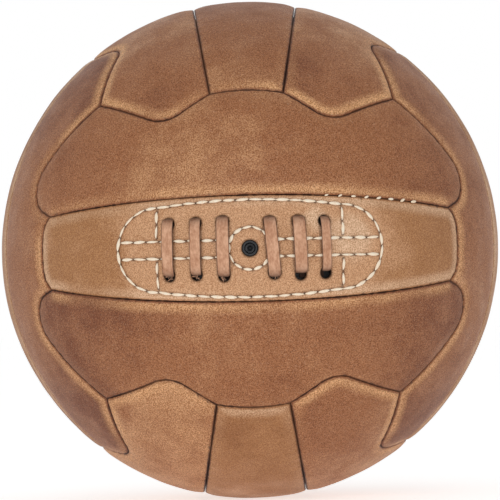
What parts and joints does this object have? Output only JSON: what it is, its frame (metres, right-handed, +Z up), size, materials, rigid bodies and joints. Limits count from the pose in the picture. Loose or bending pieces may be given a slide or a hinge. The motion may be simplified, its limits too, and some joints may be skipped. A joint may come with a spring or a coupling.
{
  "type": "medicine ball",
  "caption": "Weighted leather ball for exercise, with cusped sewn panels, a laced and stitched window and an inflation valve.",
  "frame": {"origin": "centre of the ball", "axes": "+Z up, -Y out through the valve in the middle of the laced panel, X along the laced panel"},
  "size_m": [0.22, 0.2216, 0.22],
  "materials": {
    "band_leather": "smooth caramel tan, worn soft sheen",
    "strip_leather": "aged brown, mottled, worn soft sheen",
    "lace_leather": "suede-like pinkish tan strap",
    "patch_leather": "rough split leather",
    "felt": "grey-cream wool felt",
    "thread": "waxed cream thread",
    "bladder_rubber": "matt black natural rubber",
    "valve_rubber": "glossy black rubber"
  },
  "bodies": {
    "root": {"backing_patch": "patch_leather", "bladder": "bladder_rubber", "closing_stitches": "thread", "column_stitching": "thread", "felt_back_band": "felt", "felt_back_lower": "felt", "felt_back_upper": "felt", "felt_bottom_band": "felt", "felt_bottom_left": "felt", "felt_bottom_right": "felt", "felt_front_band_left": "felt", "felt_front_band_right": "felt", "felt_front_lower": "felt", "felt_front_upper": "felt", "felt_left_band": "felt", "felt_left_front": "felt", "felt_left_rear": "felt", "felt_right_band": "felt", "felt_right_front": "felt", "felt_right_rear": "felt", "felt_top_band": "felt", "felt_top_left": "felt", "felt_top_right": "felt", "lace": "lace_leather", "outline_stitching": "thread", "panel_back_band": "band_leather", "panel_back_lower": "strip_leather", "panel_back_upper": "strip_leather", "panel_bottom_band": "band_leather", "panel_bottom_left": "strip_leather", "panel_bottom_right": "strip_leather", "panel_front_band": "band_leather", "panel_front_lower": "strip_leather", "panel_front_upper": "strip_leather", "panel_left_band": "band_leather", "panel_left_front": "strip_leather", "panel_left_rear": "strip_leather", "panel_right_band": "band_leather", "panel_right_front": "strip_leather", "panel_right_rear": "strip_leather", "panel_top_band": "band_leather", "panel_top_left": "strip_leather", "panel_top_right": "strip_leather", "row_stitching": "thread", "valve_core": "valve_rubber", "valve_housing": "valve_rubber", "valve_ring_stitching": "thread"}
  },
  "joints": []
}
